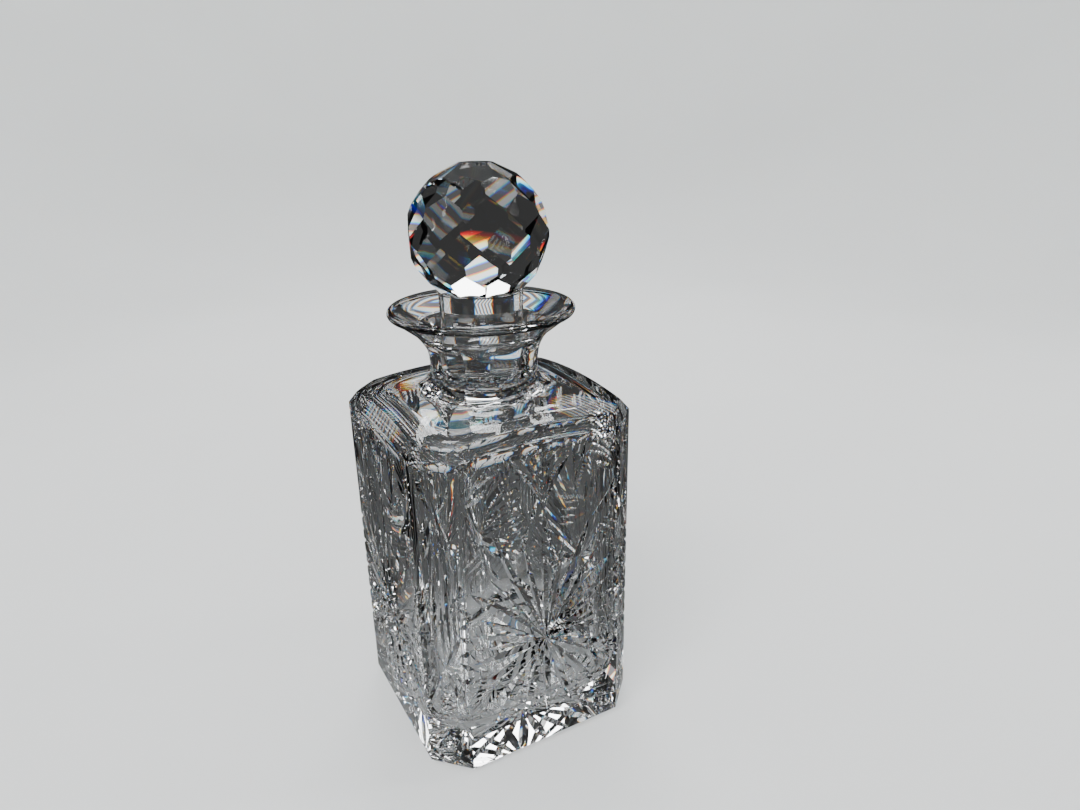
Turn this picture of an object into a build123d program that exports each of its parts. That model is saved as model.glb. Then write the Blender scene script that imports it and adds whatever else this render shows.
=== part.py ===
"""Square cut-crystal decanter with a faceted ball stopper, in millimetres.

+Z is up. The origin is the centre of the foot. The four broad panels face -Y, +X, +Y and -X,
and the four cut corners face the diagonals. The stopper is modelled seated in the neck.
"""

from build123d import *

import os
from math import asin, atan2, cos, degrees, hypot, radians, sin, sqrt

# Body, outside
width = 94.0  # across two opposite panels
corner_cut = 13.0  # taken off each corner of the square, measured along a panel
dome_top = 146.8  # height the domed shoulder would reach on the axis
dome_radius = 231.0  # radius of the shoulder's sphere
shoulder_bevel = 3.5  # flat band between a panel and the shoulder
foot_bevel = 2.5  # band around the foot

# Neck and lip
waist_radius = 20.4  # narrowest part of the neck, outside
root_curve = 7.5  # radius of the curve from the shoulder up to the waist
neck_curve = 35.0  # slow widening above the waist
neck_curve_end = 13.7  # degrees turned by the end of that curve
flare_curve = 12.0  # quick widening under the lip
flare_end = 60.0  # degrees from upright where the underside of the lip starts
neck_panels = 12  # flat panels cut around the neck
panel_depth = 0.8  # how deep each one bites
lip_radius = 36.5
lip_height = 178.0
lip_thickness = 3.6

# Inside
wall = 7.0  # glass behind a panel
floor = 14.0  # thick foot
cavity_corner = 18.0
floor_fillet = 11.0
ceiling_glass = 6.0  # glass under the shoulder
seat_top = 162.5  # where the funnel meets the ground bore
seat_top_radius = 15.9
seat_slope = 0.03  # bore radius lost per millimetre of depth
seat_clearance = 0.05  # between the bore and the peg, on the radius
funnel_shoulder = (18.3, 167.2)  # radius and height where the funnel turns outwards
funnel_knee = (25.0, 171.0)  # where its curve runs out
funnel_mouth = 33.9  # inner edge of the lip

# Stopper
ball_height = 205.0  # ball centre when seated
ball_flat = 25.7  # from the ball's centre to every facet
ball_radius = 28.0  # sphere that the facets are cut from, and that they cover
ball_foot = 23.0  # the facets stop this far under the centre, inside the peg
facets_round = 10  # facets in one row
row_tilts = (63, 42, 21, 0, -21, -42)  # degrees above the ball's equator
peg_length = 68.5  # ball centre to the end of the peg
peg_end_fillet = 3.0

# Mitre cuts. On a panel the first coordinate runs across it and the second is height.
# Each is listed for the right half and ground again as a mirror image on the left.
star = (0.0, 52.0)  # centre of the star
star_rays = (  # angle, nearest and farthest reach from the centre, width, depth
    (78.75, 4, 46, 2.6, 1.1),
    (67.5, 2, 58, 3.6, 1.5),
    (56.25, 5, 44, 2.4, 1.0),
    (45, 2, 45, 5.4, 2.1),
    (33.75, 6, 36, 2.2, 0.9),
    (22.5, 2, 34, 3.6, 1.5),
    (0, 2, 32, 3.4, 1.4),
    (-22.5, 2, 34, 3.6, 1.5),
    (-35.5, 2, 40, 4.6, 1.9),
    (-53, 2, 42, 3.6, 1.5),
    (-72, 2, 38, 4.0, 1.6),
)
star_uprights = ((90, 2, 72, 3.0, 1.3), (-90, 2, 36.5, 3.8, 1.5))
plumes = (  # node, and the tips of the strokes that leave it
    ((1.0, 110.0), ((3.5, 135.5), (7.0, 134), (10.0, 129))),
    ((14.0, 108.0), ((13.0, 135), (17.0, 135.5), (21.0, 134))),
    ((31.8, 119.0), ((28.5, 135), (23.5, 134), (19.5, 130))),
)
plume_width = 1.9
plume_depth = 0.8
corner_strokes = (  # from, to, width, depth; the first coordinate is from the corner's middle
    ((0.5, 117.0), (6.0, 133.0), 2.4, 1.0),
    ((0.8, 113.0), (5.4, 97.0), 3.0, 1.2),
    ((2.6, 110.0), (4.2, 80.0), 1.9, 0.8),
    ((6.8, 104.0), (6.6, 68.0), 1.9, 0.8),
    ((2.2, 92.0), (2.8, 58.0), 1.9, 0.8),
    ((0.5, 48.6), (8.8, 29.0), 3.0, 1.3),
    ((0.5, 50.5), (7.5, 66.0), 2.4, 1.0),
)
proud = 0.6  # how far a cutter stands out of the surface it cuts
thumb_height = 16.5  # centre of the round thumb cut at the foot of each corner
thumb_radius = 10.2
thumb_depth = 1.7

# Heights and radii that follow from these
half = width / 2
panel_half = half - corner_cut
corner_distance = (half + panel_half) / sqrt(2)
thumb_wheel = (thumb_radius**2 + thumb_depth**2) / (2 * thumb_depth)  # radius that leaves that cut
dome_centre = dome_top - dome_radius
neck_foot = dome_top - ceiling_glass / 2
bore_foot = dome_top - ceiling_glass - 4.0
bore_foot_radius = seat_top_radius - (seat_top - bore_foot) * seat_slope
peg_end = ball_height - peg_length
peg_end_radius = seat_top_radius - (seat_top - peg_end) * seat_slope - seat_clearance
peg_top = ball_height - 12.0
peg_top_radius = seat_top_radius + (peg_top - seat_top) * seat_slope - seat_clearance

# Neck profile: a root curve that leaves the dome on its tangent, then two that open upwards
root_centre_radius = waist_radius + root_curve
root_radius = root_centre_radius / (1 + root_curve / dome_radius)
root_turn = degrees(asin(root_radius / dome_radius))
waist_height = dome_centre + (dome_radius + root_curve) * cos(radians(root_turn))


def around(centre, radius, turn):
    """Point on a circle, the turn in degrees from the first axis."""
    return (centre[0] + radius * cos(radians(turn)), centre[1] + radius * sin(radians(turn)))


root_centre = (root_centre_radius, waist_height)
neck_centre = (waist_radius + neck_curve, waist_height)
neck_top = around(neck_centre, neck_curve, 180 - neck_curve_end)
flare_centre = around(neck_top, flare_curve, -neck_curve_end)
flare_top = around(flare_centre, flare_curve, 180 - flare_end)


def side_plane(turn, distance):
    """Upright plane facing away from the axis, turned from -Y; its X runs across the face."""
    outward = Vector(sin(radians(turn)), -cos(radians(turn)), 0)
    across = Vector(cos(radians(turn)), sin(radians(turn)), 0)
    return Plane(origin=outward * distance, x_dir=across, z_dir=outward)


def mitre(plane, start, end, breadth, depth):
    """V cutter for one leaf-shaped cut, from start to end on a plane."""
    grow = 1 + proud / depth
    reach = hypot(end[0] - start[0], end[1] - start[1]) / 2 * grow
    edge = breadth / 2 * grow
    with BuildPart() as cutter:
        with BuildSketch(Plane.YZ) as section:
            with BuildLine():
                Polyline((-edge, proud), (edge, proud), (0, -depth), close=True)
            make_face()
        tips = [Vertex(-reach, 0, proud), Vertex(reach, 0, proud)]
        loft(sections=[tips[0], section.sketch.face(), tips[1]], ruled=True)
    middle = ((start[0] + end[0]) / 2, (start[1] + end[1]) / 2, 0)
    turn = degrees(atan2(end[1] - start[1], end[0] - start[0]))
    return plane.location * Location(middle, (0, 0, turn)) * cutter.part


def ray(turn, near, far, breadth, depth):
    """A straight ray of the star."""
    return (around(star, near, turn), around(star, far, turn), breadth, depth)


def mirrored(cuts):
    """The same cuts on the other side of the middle line."""
    return [((-a[0], a[1]), (-b[0], b[1]), w, d) for a, b, w, d in cuts]


# ---------------------------------------------------------------- mitre cutters
right_cuts = [ray(*numbers) for numbers in star_rays]
for node, tips in plumes:
    right_cuts += [(node, tip, plume_width, plume_depth) for tip in tips]
panel_cuts = [ray(*numbers) for numbers in star_uprights] + right_cuts + mirrored(right_cuts)
corner_cuts = list(corner_strokes) + mirrored(corner_strokes)
cutters = []
for turn in (0, 90, 180, 270):
    cutters += [mitre(side_plane(turn, half), *cut) for cut in panel_cuts]
    cutters += [mitre(side_plane(turn + 45, corner_distance), *cut) for cut in corner_cuts]

# ---------------------------------------------------------------- the hollow inside
with BuildPart() as hollow:
    with BuildSketch(Plane.XY.offset(floor)):
        RectangleRounded(width - 2 * wall, width - 2 * wall, cavity_corner)
    extrude(amount=dome_top)
    with Locations((0, 0, dome_centre - ceiling_glass)):
        Sphere(dome_radius, mode=Mode.INTERSECT)
    fillet(hollow.faces().sort_by(Axis.Z)[0].edges(), floor_fillet)

# ---------------------------------------------------------------- neck panel wheel
# What one flat neck panel loses: it ends in a scallop on the shoulder and another under the lip
foot_wheel = root_curve - 0.5
lip_wheel = flare_curve - 1.0
foot_place = (waist_radius - panel_depth + foot_wheel, waist_height)
bend = (neck_top[0] - panel_depth, neck_top[1])
lip_place = around(bend, lip_wheel, -neck_curve_end)
clear_radius = foot_place[0] + 3.0  # well outside the neck
with BuildPart() as panel_wheel:
    with BuildSketch(Plane.XZ):
        with BuildLine():
            scallop = around(foot_place, foot_wheel, 270)
            crown = around(foot_place, foot_wheel, 180)
            ThreePointArc(scallop, around(foot_place, foot_wheel, 225), crown)
            Line(crown, bend)
            top = around(lip_place, lip_wheel, 125)
            ThreePointArc(bend, around(lip_place, lip_wheel, 150), top)
            Polyline(
                top,
                (clear_radius, neck_top[1] + 3.0),
                (clear_radius, waist_height - foot_wheel + 2.0),
                scallop,
            )
        make_face()
    extrude(amount=6.5, both=True)

# ---------------------------------------------------------------- decanter body
with BuildPart() as decanter_body:
    with BuildSketch() as plan:
        Rectangle(width, width)
        chamfer(plan.vertices(), corner_cut)
    extrude(amount=dome_top + 5.0)
    with Locations((0, 0, dome_centre)):
        Sphere(dome_radius, mode=Mode.INTERSECT)
    chamfer(decanter_body.faces().sort_by(Axis.Z)[-1].edges(), shoulder_bevel)
    chamfer(decanter_body.faces().sort_by(Axis.Z)[0].edges(), foot_bevel)

    # Neck and lip, turned in one with the body
    neck_root = around(root_centre, root_curve, -90 - root_turn)
    lip_under = (lip_radius - 0.7, lip_height - lip_thickness)
    lip_edge = (lip_radius, lip_height - lip_thickness / 2)
    lip_top = (lip_radius - 0.7, lip_height)
    with BuildSketch(Plane.XZ):
        with BuildLine():
            root_mid = around(root_centre, root_curve, 225)
            ThreePointArc(neck_root, root_mid, (waist_radius, waist_height))
            neck_mid = around(neck_centre, neck_curve, 180 - neck_curve_end / 2)
            ThreePointArc((waist_radius, waist_height), neck_mid, neck_top)
            flare_mid = around(flare_centre, flare_curve, 180 - (neck_curve_end + flare_end) / 2)
            ThreePointArc(neck_top, flare_mid, flare_top)
            Line(flare_top, lip_under)
            ThreePointArc(lip_under, lip_edge, lip_top)
            Polyline(lip_top, (0, lip_height), (0, neck_foot), (root_radius, neck_foot), neck_root)
        make_face()
    revolve(axis=Axis.Z)

    # Flat panels round the neck
    with PolarLocations(0, neck_panels):
        add(panel_wheel.part, mode=Mode.SUBTRACT)

    # Hollow, ground bore and funnel
    add(hollow.part, mode=Mode.SUBTRACT)
    with BuildSketch(Plane.XZ):
        with BuildLine():
            Polyline((0, bore_foot), (bore_foot_radius, bore_foot), (seat_top_radius, seat_top))
            ThreePointArc((seat_top_radius, seat_top), funnel_shoulder, funnel_knee)
            Polyline(
                funnel_knee,
                (funnel_mouth, lip_height),
                (funnel_mouth, lip_height + 1),
                (0, lip_height + 1),
                (0, bore_foot),
            )
        make_face()
    revolve(axis=Axis.Z, mode=Mode.SUBTRACT)

    # Star, plumes and corner strokes
    add(cutters, mode=Mode.SUBTRACT)

    # Thumb cuts
    with Locations((0, 0, thumb_height)):
        with PolarLocations(corner_distance + thumb_wheel - thumb_depth, 4, start_angle=45):
            Sphere(thumb_wheel, mode=Mode.SUBTRACT)

decanter_body.part.label = "decanter_body"
os.makedirs("parts", exist_ok=True)
export_step(decanter_body.part, "parts/decanter_body.step")

# ---------------------------------------------------------------- stopper
with BuildPart() as stopper:
    with Locations((0, 0, ball_height)):
        Sphere(ball_radius)
    for row, tilt in enumerate(row_tilts):
        for k in range(facets_round):
            turn = radians(360 / facets_round * (k + (row % 2) / 2))
            level = cos(radians(tilt))
            normal = Vector(level * cos(turn), level * sin(turn), sin(radians(tilt)))
            centre = Vector(0, 0, ball_height) + normal * ball_flat
            split(bisect_by=Plane(origin=centre, z_dir=normal), keep=Keep.BOTTOM)
    split(bisect_by=Plane.XY.offset(ball_height + ball_flat), keep=Keep.BOTTOM)
    split(bisect_by=Plane.XY.offset(ball_height - ball_foot), keep=Keep.TOP)

    # Tapered ground peg, solid glass
    with BuildSketch(Plane.XZ):
        with BuildLine():
            Polyline(
                (0, peg_end),
                (peg_end_radius, peg_end),
                (peg_top_radius, peg_top),
                (0, peg_top),
                close=True,
            )
        make_face()
    revolve(axis=Axis.Z)
    fillet(stopper.faces().sort_by(Axis.Z)[0].edges(), peg_end_fillet)

stopper.part.label = "stopper"
export_step(stopper.part, "parts/stopper.step")
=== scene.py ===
"""Cut crystal decanter: deep mitre-cut panels and corners, panelled neck, faceted ball stopper.

The vessel and the stopper are each one closed mesh, shaped as the CAD is. Wheel-shaped cutters grind
the pattern into the vessel, and planes cut the stopper's facets. The glass is worked out in
millimetres and written in metres; the stage, the lamps and the camera are in metres.
"""

from math import acos, asin, atan2, ceil, cos, degrees, hypot, pi, radians, sin, sqrt

import bmesh
import bpy
from mathutils import Matrix, Vector


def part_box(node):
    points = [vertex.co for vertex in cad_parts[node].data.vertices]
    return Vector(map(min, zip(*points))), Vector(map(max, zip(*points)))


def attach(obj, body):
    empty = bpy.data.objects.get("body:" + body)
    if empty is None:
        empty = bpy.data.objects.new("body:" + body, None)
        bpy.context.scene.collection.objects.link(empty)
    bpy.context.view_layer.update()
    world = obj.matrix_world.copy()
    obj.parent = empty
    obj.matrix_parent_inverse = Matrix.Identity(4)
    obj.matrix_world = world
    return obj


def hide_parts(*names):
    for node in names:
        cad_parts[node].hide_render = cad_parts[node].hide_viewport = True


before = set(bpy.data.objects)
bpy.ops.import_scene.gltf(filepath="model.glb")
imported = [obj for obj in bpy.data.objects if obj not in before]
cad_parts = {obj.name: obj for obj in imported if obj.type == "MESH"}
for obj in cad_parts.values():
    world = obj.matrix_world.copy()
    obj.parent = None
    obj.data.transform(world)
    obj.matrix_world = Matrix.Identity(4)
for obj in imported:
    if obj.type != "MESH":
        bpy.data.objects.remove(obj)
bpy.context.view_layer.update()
body_low, body_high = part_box("decanter_body")
stopper_low, stopper_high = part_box("stopper")

MM = 0.001

# Body, as in the CAD
HALF = body_high.x / MM
CORNER_CUT = 13.0
PANEL_HALF = HALF - CORNER_CUT
CORNER_DISTANCE = (HALF + PANEL_HALF) / sqrt(2)
DOME_TOP = 146.8
DOME_RADIUS = 231.0
SHOULDER_BEVEL = 3.5
FOOT_BEVEL = 2.5

# An upright edge between a panel and a corner: which way it faces, and where it lies on that plane
EDGE_TURN = 22.5
EDGE_DISTANCE = PANEL_HALF * sin(radians(EDGE_TURN)) + HALF * cos(radians(EDGE_TURN))
EDGE_ACROSS = PANEL_HALF * cos(radians(EDGE_TURN)) - HALF * sin(radians(EDGE_TURN))

# Neck and lip
WAIST_RADIUS = 20.4
ROOT_CURVE = 7.5
NECK_CURVE = 35.0
NECK_CURVE_END = 13.7
FLARE_CURVE = 12.0
FLARE_END = 60.0
NECK_PANELS = 12
PANEL_DEPTH = 0.95
SCALLOP = 7.0  # length over which a neck panel fades in on the shoulder
FLARE_SCALLOP = 5.6  # and out under the lip
LIP_RADIUS = 36.5
LIP_HEIGHT = body_high.z / MM
LIP_THICKNESS = 3.6

# Inside
WALL = 7.0
FLOOR = 14.0
CAVITY_CORNER = 18.0
CAVITY_CORNER_LEAST = 3.0
FLOOR_FILLET = 11.0
CEILING_FILLET = 8.0
CEILING_GLASS = 6.0
CEILING_TOP = DOME_TOP - CEILING_GLASS
WALL_TOP = 126.0  # the wall is upright from the floor's fillet up to here
RIPPLES = (  # slow waves of blown glass: height, waves round, millimetres per radian of climb, phase
    (0.30, 3, 19.0, 0.0),
    (0.22, 5, -13.0, 1.0),
)
SEAT_TOP = 162.5
SEAT_TOP_RADIUS = 15.9
SEAT_SLOPE = 0.03
SEAT_CLEARANCE = 0.05
FUNNEL_SHOULDER = (18.3, 167.2)
FUNNEL_KNEE = (25.0, 171.0)
FUNNEL_MOUTH = 33.9
FUNNEL_DROP = 0.25  # the funnel starts this far under the top of the lip
BORE_FOOT_RISE = 1.5  # the ground taper ends this far above the ceiling
BORE_FOOT_FLARE = 1.0  # the ceiling is drawn from a circle this much wider than the bore

# Stopper
BALL_FLAT = 25.7
BALL_FOOT = 23.0
BALL_HEIGHT = stopper_high.z / MM - BALL_FLAT
FACETS_ROUND = 10
FACET_ROWS = (63, 42, 21, 0, -21, -42)
PEG_END = stopper_low.z / MM
PEG_END_FILLET = 3.0
PEG_BURIED = 12.0  # the peg runs up inside the ball to this far under its centre
TAPER_START = 0.5  # the taper's first ring stands this far above the rounded end

# Mesh fineness
COLUMNS_PANEL = 36
COLUMNS_CORNER = 12
COLUMNS = 4 * (COLUMNS_PANEL + COLUMNS_CORNER)
ROOT_STEPS = 18
NECK_STEPS = 6
FLARE_STEPS = 12
SHOULDER_STEPS = 10
LIP_UNDER_POINTS = 4
LIP_EDGE_STEPS = 14
MOUTH_POINTS = 3
FUNNEL_STEPS = 10
BORE_STEPS = 4
CEILING_STEPS = 8
WALL_STEPS = 22
FLOOR_FILLET_STEPS = 10
FLOOR_STEPS = 5
PEG_STEPS = 12
PEG_FILLET_STEPS = 8
PEG_FOOT_STEPS = 4
CURVE_STEPS = 8  # along a curved cut
STATIONS_STRAIGHT = 6  # stretches of a cutter for a straight cut
STATIONS_CURVED = 10
THUMB_RINGS = 14
THUMB_SEGMENTS = 72
SHARP_ANGLE = 18.0  # edges that turn more than this stay crisp
SLIVER = 0.002 * MM  # faces and edges thinner than this are dropped


# ------------------------------------------------------------------ mesh helpers
def mesh_object(name, verts, faces):
    """New mesh object from millimetre points."""
    mesh = bpy.data.meshes.new(name)
    mesh.from_pydata([(x * MM, y * MM, z * MM) for x, y, z in verts], [], faces)
    mesh.update()
    obj = bpy.data.objects.new(name, mesh)
    bpy.context.scene.collection.objects.link(obj)
    return obj


def closed_faces(count, rings):
    """Faces over a start point, some rings of equal length and an end point, in that order."""
    faces = []
    last = 1 + (rings - 1) * count
    for k in range(count):
        nxt = (k + 1) % count
        faces.append((0, 1 + nxt, 1 + k))
        for r in range(rings - 1):
            low = 1 + r * count
            high = low + count
            faces.append((low + k, low + nxt, high + nxt, high + k))
        faces.append((last + k, last + nxt, last + count))
    return faces


def skin(name, rings, start, end):
    """Closed mesh through rings of equal length, with a centre point at each end."""
    verts = [start] + [p for ring in rings for p in ring] + [end]
    return mesh_object(name, verts, closed_faces(len(rings[0]), len(rings)))


def face_outwards(obj):
    """Point every normal out of the glass."""
    bm = bmesh.new()
    bm.from_mesh(obj.data)
    bmesh.ops.recalc_face_normals(bm, faces=bm.faces)
    bm.to_mesh(obj.data)
    bm.free()


def boolean(obj, tool, operation):
    """Apply one boolean and drop the tool."""
    face_outwards(tool)
    mod = obj.modifiers.new("cut", "BOOLEAN")
    mod.operation = operation
    mod.solver = "MANIFOLD"
    mod.object = tool
    graph = bpy.context.evaluated_depsgraph_get()
    result = bpy.data.meshes.new_from_object(obj.evaluated_get(graph))
    obj.modifiers.remove(mod)
    obj.data = result
    bpy.data.objects.remove(tool)


def drop_slivers(obj):
    """Remove the hair-thin faces and edges that the cutting leaves."""
    bm = bmesh.new()
    bm.from_mesh(obj.data)
    bmesh.ops.dissolve_degenerate(bm, dist=SLIVER, edges=bm.edges)
    bmesh.ops.triangulate(bm, faces=[f for f in bm.faces if len(f.verts) > 4])
    bmesh.ops.dissolve_degenerate(bm, dist=SLIVER, edges=bm.edges)
    bm.to_mesh(obj.data)
    bm.free()


def around(centre, radius, turn):
    """Point on a circle, the turn in degrees."""
    return (centre[0] + radius * cos(radians(turn)), centre[1] + radius * sin(radians(turn)))


def arc(centre, radius, start, stop, steps):
    """Points of a circular arc in a plane, angles in degrees, both ends included."""
    return [around(centre, radius, start + (stop - start) * i / steps) for i in range(steps + 1)]


def between(a, b, count):
    """Evenly spaced points strictly between two flat points."""
    points = []
    for i in range(1, count + 1):
        t = i / (count + 1)
        points.append((a[0] + (b[0] - a[0]) * t, a[1] + (b[1] - a[1]) * t))
    return points


def circle_through(a, b, c):
    """Centre and radius of the circle through three flat points."""
    squares = [p[0] ** 2 + p[1] ** 2 for p in (a, b, c)]
    twice = 2 * (a[0] * (b[1] - c[1]) + b[0] * (c[1] - a[1]) + c[0] * (a[1] - b[1]))
    x = squares[0] * (b[1] - c[1]) + squares[1] * (c[1] - a[1]) + squares[2] * (a[1] - b[1])
    y = squares[0] * (c[0] - b[0]) + squares[1] * (a[0] - c[0]) + squares[2] * (b[0] - a[0])
    centre = (x / twice, y / twice)
    return centre, hypot(a[0] - centre[0], a[1] - centre[1])


# ------------------------------------------------------------------ body blank
def dome(radius, top=DOME_TOP):
    """Height of the shoulder's sphere at a distance from the axis."""
    return top - DOME_RADIUS + sqrt(DOME_RADIUS**2 - radius**2)


def column_angle(k):
    """Angle of column k on a circle; column 0 is the left edge of the -Y panel."""
    step = 360 / COLUMNS
    return radians(-90 - COLUMNS_PANEL / 2 * step + k * step)


def outline(inset):
    """The octagon of panels and cut corners, moved inwards."""
    flat = HALF - inset
    corner = CORNER_DISTANCE - inset
    edge = corner * sqrt(2) - flat
    points = []
    for side in range(4):
        turn = Matrix.Rotation(radians(90 * side), 2)
        left, right = Vector((-edge, -flat)), Vector((edge, -flat))
        following = Vector((flat, -edge))
        for i in range(COLUMNS_PANEL):
            points.append(turn @ left.lerp(right, i / COLUMNS_PANEL))
        for i in range(COLUMNS_CORNER):
            points.append(turn @ right.lerp(following, i / COLUMNS_CORNER))
    return points


def hollow_outline(inset):
    """Rounded square of the hollow, one point in the direction of each column."""
    half = HALF - WALL - inset
    radius = max(CAVITY_CORNER - inset, CAVITY_CORNER_LEAST)
    core = half - radius
    points = []
    for p in outline(0):
        along = p.normalized()
        ax, ay = abs(along.x), abs(along.y)
        reach = half / max(ax, ay)
        if min(ax, ay) * reach > core:
            middle = core * (ax + ay)
            reach = middle + sqrt(middle**2 - 2 * core**2 + radius**2)
        points.append(along * reach)
    return points


def turned(radius, height):
    """A circular ring."""
    return [
        (radius * cos(column_angle(k)), radius * sin(column_angle(k)), height)
        for k in range(COLUMNS)
    ]


def neck_profile():
    """Radius and height up the neck: it leaves the dome on its tangent and opens under the lip."""
    root_radius = (WAIST_RADIUS + ROOT_CURVE) / (1 + ROOT_CURVE / DOME_RADIUS)
    root_turn = asin(root_radius / DOME_RADIUS)
    waist = DOME_TOP - DOME_RADIUS + (DOME_RADIUS + ROOT_CURVE) * cos(root_turn)
    root_centre = (WAIST_RADIUS + ROOT_CURVE, waist)
    neck_centre = (WAIST_RADIUS + NECK_CURVE, waist)
    neck_top = around(neck_centre, NECK_CURVE, 180 - NECK_CURVE_END)
    flare_centre = around(neck_top, FLARE_CURVE, -NECK_CURVE_END)
    points = arc(root_centre, ROOT_CURVE, 270 - degrees(root_turn), 180, ROOT_STEPS)
    points += arc(neck_centre, NECK_CURVE, 180, 180 - NECK_CURVE_END, NECK_STEPS)[1:]
    points += arc(flare_centre, FLARE_CURVE, 180 - NECK_CURVE_END, 180 - FLARE_END, FLARE_STEPS)[1:]
    return points


def neck_rings(points):
    """The neck's rings, hollowed by its ground panels, which end in scallops."""
    run = [0.0]
    for a, b in zip(points, points[1:]):
        run.append(run[-1] + hypot(b[0] - a[0], b[1] - a[1]))
    pitch = 2 * pi / NECK_PANELS
    rings = []
    for i, (r, z) in enumerate(points):
        before, after = points[max(i - 1, 0)], points[min(i + 1, len(points) - 1)]
        along = Vector((after[0] - before[0], after[1] - before[1])).normalized()
        inward = Vector((along.y, -along.x))
        fade = min(1.0, run[i] / SCALLOP, (run[-1] - run[i]) / FLARE_SCALLOP)
        spread = sqrt(max(0.0, 1 - (1 - fade) ** 2))
        ring = []
        for k in range(COLUMNS):
            a = column_angle(k)
            off = abs((a + pitch / 2) % pitch - pitch / 2) / (pitch / 2)
            bite = 0.0
            if off < spread:
                bite = PANEL_DEPTH * spread**2 * (1 - (off / spread) ** 2)
            q = r + inward.x * bite
            ring.append((q * cos(a), q * sin(a), z + inward.y * bite))
        rings.append(ring)
    return rings


def shoulder_rings(root_radius):
    """From the shoulder's bevel in to the foot of the neck."""
    rim = outline(SHOULDER_BEVEL)
    rings = []
    for i in range(SHOULDER_STEPS):
        ring = []
        for k, p in enumerate(rim):
            a = column_angle(k)
            root = Vector((root_radius * cos(a), root_radius * sin(a)))
            q = p.lerp(root, i / SHOULDER_STEPS)
            ring.append((q.x, q.y, dome(q.length)))
        rings.append(ring)
    return rings


def lip_profile(flare):
    """Underside and rounded edge of the lip, from the top of the flare."""
    edge = LIP_THICKNESS / 2
    centre = (LIP_RADIUS - edge, LIP_HEIGHT - edge)
    under = (centre[0], LIP_HEIGHT - LIP_THICKNESS)
    underside = between(flare, under, LIP_UNDER_POINTS)
    return underside + arc(centre, edge, -90, 90, LIP_EDGE_STEPS)


def funnel_profile():
    """Inside of the lip down to the foot of the bore."""
    mouth = (FUNNEL_MOUTH, LIP_HEIGHT)
    seat = (SEAT_TOP_RADIUS, SEAT_TOP)
    points = [(FUNNEL_MOUTH, LIP_HEIGHT - FUNNEL_DROP)]
    points += between(mouth, FUNNEL_KNEE, MOUTH_POINTS)
    centre, radius = circle_through(seat, FUNNEL_SHOULDER, FUNNEL_KNEE)
    start = degrees(atan2(FUNNEL_KNEE[1] - centre[1], FUNNEL_KNEE[0] - centre[0]))
    stop = degrees(atan2(SEAT_TOP - centre[1], SEAT_TOP_RADIUS - centre[0]))
    points += arc(centre, radius, start, stop, FUNNEL_STEPS)
    bore_foot = dome(SEAT_TOP_RADIUS, CEILING_TOP) + BORE_FOOT_RISE
    for i in range(1, BORE_STEPS + 1):
        z = SEAT_TOP + (bore_foot - SEAT_TOP) * i / BORE_STEPS
        points.append((SEAT_TOP_RADIUS - (SEAT_TOP - z) * SEAT_SLOPE, z))
    return points


def ripple(angle, z):
    """How far the inside wall stands out of true."""
    return sum(h * sin(n * angle + z / climb + phase) for h, n, climb, phase in RIPPLES)


def ceiling_rings():
    """Under the shoulder, from the bore out and round the fillet to the wall."""
    bore_radius = SEAT_TOP_RADIUS - (SEAT_TOP - CEILING_TOP) * SEAT_SLOPE + BORE_FOOT_FLARE
    edge = hollow_outline(CEILING_FILLET)
    rings = []
    for i in range(1, CEILING_STEPS + 1):
        ring = []
        for k, p in enumerate(edge):
            a = column_angle(k)
            q = (Vector((cos(a), sin(a))) * bore_radius).lerp(p, i / CEILING_STEPS)
            ring.append((q.x, q.y, dome(q.length, CEILING_TOP)))
        rings.append(ring)
    for i in range(1, CEILING_STEPS + 1):
        a = pi / 2 * i / CEILING_STEPS
        inset = CEILING_FILLET * (1 - sin(a))
        drop = CEILING_FILLET * (1 - cos(a))
        ring = []
        for p, e in zip(hollow_outline(inset), edge):
            ring.append((p.x, p.y, dome(e.length, CEILING_TOP) - drop))
        rings.append(ring)
    return rings


def wall_and_floor_rings():
    """Down the rippled wall, round the floor's fillet and in to the middle."""
    bottom = FLOOR + FLOOR_FILLET
    rings = []
    for i in range(WALL_STEPS + 1):
        z = WALL_TOP + (bottom - WALL_TOP) * i / WALL_STEPS
        ring = []
        for p in hollow_outline(0):
            q = p * (1 + ripple(atan2(p.y, p.x), z) / p.length)
            ring.append((q.x, q.y, z))
        rings.append(ring)
    for i in range(1, FLOOR_FILLET_STEPS + 1):
        a = pi / 2 * i / FLOOR_FILLET_STEPS
        inset = FLOOR_FILLET * (1 - cos(a))
        drop = FLOOR_FILLET * sin(a)
        rings.append([(p.x, p.y, bottom - drop) for p in hollow_outline(inset)])
    for i in range(1, FLOOR_STEPS):
        t = 1 - i / FLOOR_STEPS
        rings.append([(p.x * t, p.y * t, FLOOR) for p in hollow_outline(FLOOR_FILLET)])
    return rings


def body_blank():
    """The uncut vessel: outside, lip, bore and hollow in one closed skin."""
    rings = []
    rings.append([(p.x, p.y, 0.0) for p in outline(FOOT_BEVEL)])
    rings.append([(p.x, p.y, FOOT_BEVEL) for p in outline(0)])
    rings.append([(p.x, p.y, dome(p.length) - SHOULDER_BEVEL) for p in outline(0)])
    neck = neck_profile()
    rings += shoulder_rings(neck[0][0])
    rings += neck_rings(neck)
    rings += [turned(r, z) for r, z in lip_profile(neck[-1]) + funnel_profile()]
    rings += ceiling_rings()
    rings += wall_and_floor_rings()
    obj = skin("decanter_cut_glass", rings, (0, 0, 0), (0, 0, FLOOR))
    face_outwards(obj)
    return obj


# ------------------------------------------------------------------ grinding
# On a face the first coordinate runs across it and the second is height
PROUD = 0.5  # how far a cutter stands out of the surface
SPAN_STEP = 2.0  # a cut is covered by circles about this far apart
SPAN_SHARE = 0.6  # and each is widened by this share of the step


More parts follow.
